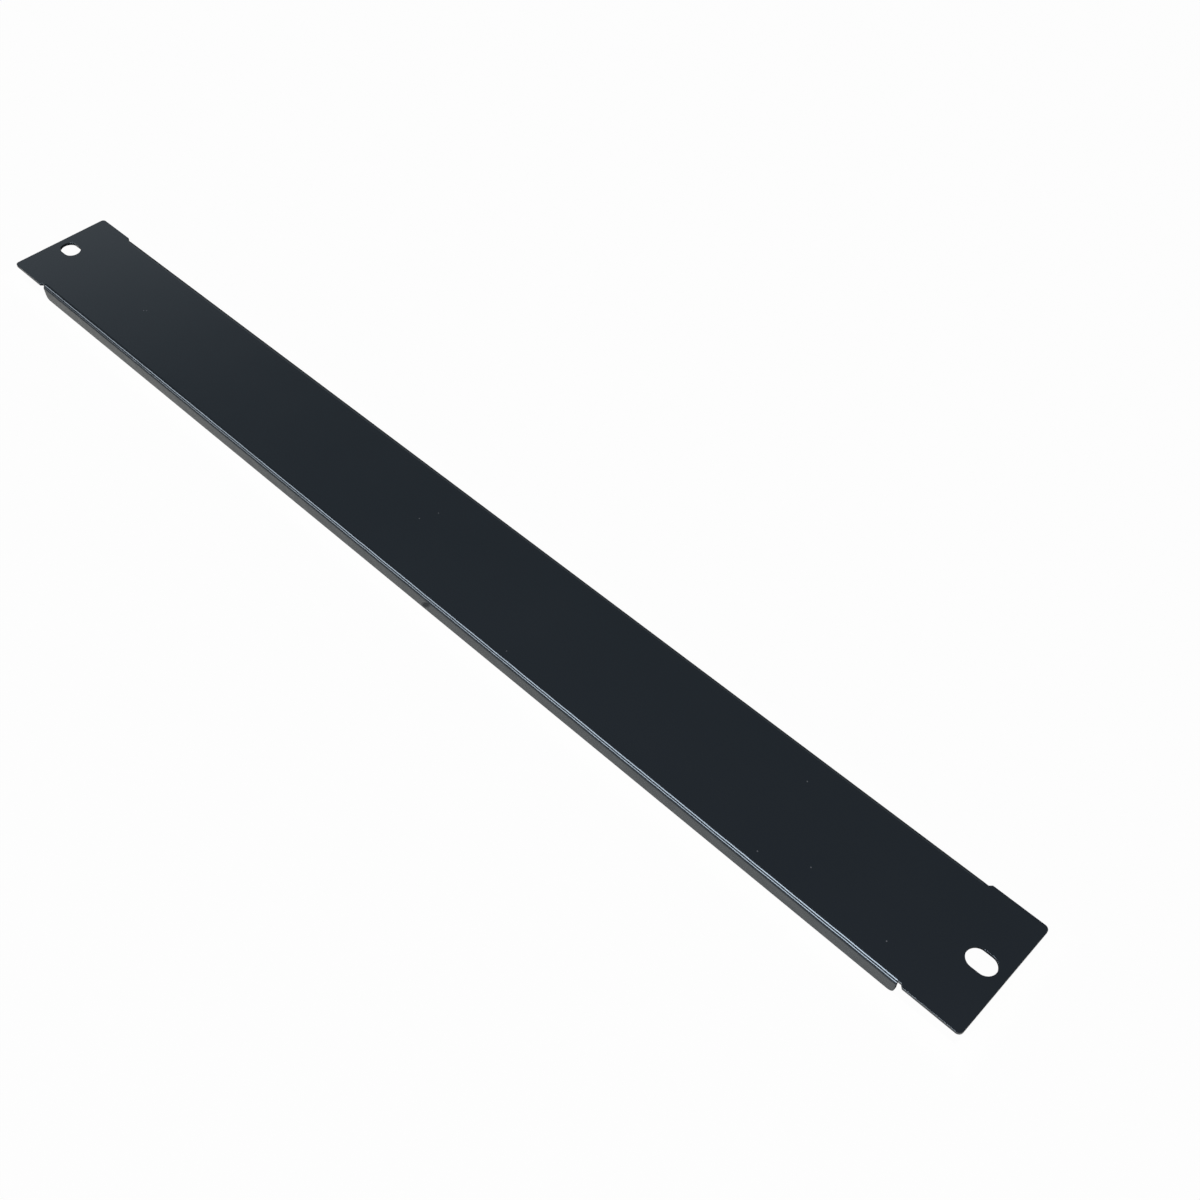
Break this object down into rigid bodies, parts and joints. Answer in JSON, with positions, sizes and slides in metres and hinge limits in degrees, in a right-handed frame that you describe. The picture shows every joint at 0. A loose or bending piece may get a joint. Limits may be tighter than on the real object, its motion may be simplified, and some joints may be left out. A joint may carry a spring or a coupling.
{
  "type": "rack blanking panel",
  "caption": "Long flat black steel panel with its long edges folded back into shallow flanges and a slotted ear at each end, for covering an empty space in an equipment rack.",
  "frame": {"origin": "middle of the footprint, on the surface that the panel lies on: level with the flanges' free edges, midway between the two slots", "axes": "+X along the panel's length, +Y across its height in the rack, +Z out of its front face"},
  "size_m": [0.4826, 0.0436, 0.007],
  "materials": {
    "powder_coat": "black satin powder coat over steel sheet"
  },
  "bodies": {
    "root": {"blanking_panel": "powder_coat"}
  },
  "joints": []
}
